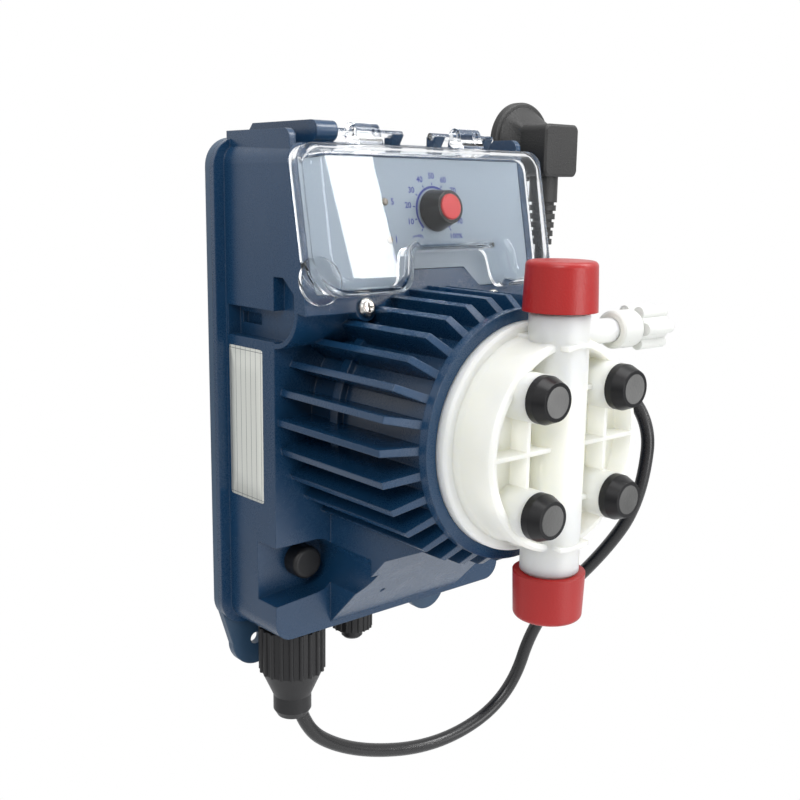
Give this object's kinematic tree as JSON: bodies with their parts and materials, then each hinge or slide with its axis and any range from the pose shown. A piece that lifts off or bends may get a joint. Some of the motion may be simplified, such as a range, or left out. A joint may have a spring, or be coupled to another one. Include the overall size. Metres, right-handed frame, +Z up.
{
  "type": "diaphragm metering pump",
  "caption": "Wall-mounted solenoid diaphragm metering pump with finned drive housing, hinged clear cover over a dial, plastic pump head, bleed valve and mains cord.",
  "frame": {"origin": "on the back face of the rear cover, where it meets the wall, half way up the casing and on the upright plane through the pump head's axis", "axes": "+X to the right as one faces the pump, +Y into the wall, -Y out along the pump head, +Z up"},
  "size_m": [0.1983, 0.1513, 0.3203],
  "materials": {
    "casing_blue": "moulded, semi-matt",
    "rear_grey_blue": "moulded, semi-matt",
    "seal_rubber": "matt",
    "steel": "bright",
    "panel_film": "smooth film",
    "clear_plastic": "clear, glossy",
    "board_green": "coated",
    "black_plastic": "moulded, matt",
    "red_plastic": "moulded, satin",
    "head_white": "natural, slightly translucent",
    "lamp": "clear lens",
    "copper": "enamelled wire",
    "soft_iron": "machined",
    "ptfe": "smooth",
    "cord_black": "smooth",
    "cap_disc": "fine grain"
  },
  "bodies": {
    "pump": {"rear_cover": "rear_grey_blue", "rear_gasket": "seal_rubber", "casing": "casing_blue", "casing_screws": "steel", "control_panel": "panel_film", "circuit_board": "board_green", "potentiometer": "black_plastic", "status_leds": "lamp", "console_screws": "steel", "power_board": "board_green", "terminal_block": "black_plastic", "magnet_yoke": "soft_iron", "pole_piece": "soft_iron", "coil_bobbin": "black_plastic", "coil_winding": "copper", "return_spring": "steel", "diaphragm_backing": "head_white", "diaphragm": "ptfe", "pump_head": "head_white", "head_bolts": "steel", "bolt_caps": "black_plastic", "bolt_cap_discs": "cap_disc", "suction_seat": "head_white", "discharge_seat": "head_white", "suction_cage": "head_white", "suction_valve": "head_white", "discharge_valve": "head_white", "port_seals": "seal_rubber", "bleed_body": "head_white", "gland_body": "black_plastic", "gland_locknut": "black_plastic", "gland_seal": "seal_rubber", "gland_nut": "black_plastic", "signal_gland": "black_plastic", "signal_plug": "black_plastic", "blanking_plug": "black_plastic", "plug_body": "black_plastic", "plug_pins": "steel", "strain_relief": "black_plastic", "power_cord": "cord_black"},
    "cover": {"clear_cover": "clear_plastic"},
    "dial": {"knob": "black_plastic", "knob_cap": "red_plastic", "knob_shaft": "steel"},
    "plunger_unit": {"plunger": "soft_iron", "push_rod": "steel"},
    "suction_valve_ball": {"suction_ball": "ptfe"},
    "discharge_valve_ball": {"discharge_ball": "ptfe"},
    "suction_transit_cap": {"suction_cap": "red_plastic"},
    "discharge_transit_cap": {"discharge_cap": "red_plastic"},
    "bleed_needle": {"bleed_seal": "seal_rubber"},
    "bleed_handle": {"bleed_knob": "head_white"}
  },
  "joints": [
    {"name": "cover_hinge", "type": "hinge", "parent": "pump", "child": "cover", "pos_m": [0, -0.049, 0.107], "axis": [-1, 0, 0], "range_deg": [0, 110]},
    {"name": "dial_turn", "type": "hinge", "parent": "pump", "child": "dial", "pos_m": [0.0065, -0.05406, 0.07648], "axis": [0, -0.9816, 0.1908], "range_deg": [-135, 135]},
    {"name": "plunger_stroke", "type": "slide", "parent": "pump", "child": "plunger_unit", "axis": [0, -1, 0], "range_m": [0, 0.00125], "stiffness_N_per_m": 8000, "springref_m": -0.001, "deforming": ["return_spring", "diaphragm"]},
    {"name": "suction_ball_lift", "type": "slide", "parent": "pump", "child": "suction_valve_ball", "axis": [0, 0, 1], "range_m": [0, 0.0015]},
    {"name": "discharge_ball_lift", "type": "slide", "parent": "pump", "child": "discharge_valve_ball", "axis": [0, 0, 1], "range_m": [0, 0.0015]},
    {"name": "suction_cap_pull", "type": "slide", "parent": "pump", "child": "suction_transit_cap", "axis": [0, 0, -1], "range_m": [0, 0.02]},
    {"name": "discharge_cap_pull", "type": "slide", "parent": "pump", "child": "discharge_transit_cap", "axis": [0, 0, 1], "range_m": [0, 0.02]},
    {"name": "bleed_lift", "type": "slide", "parent": "pump", "child": "bleed_needle", "axis": [1, 0, 0], "range_m": [0, 0.0015]},
    {"name": "bleed_turn", "type": "hinge", "parent": "bleed_needle", "child": "bleed_handle", "pos_m": [0.042, -0.1316, 0.033], "axis": [1, 0, 0], "range_deg": [0, 360]}
  ],
  "couplings": [
    {"joint": "bleed_lift", "follows": "bleed_turn", "m_per_rad": 0.00023871}
  ]
}
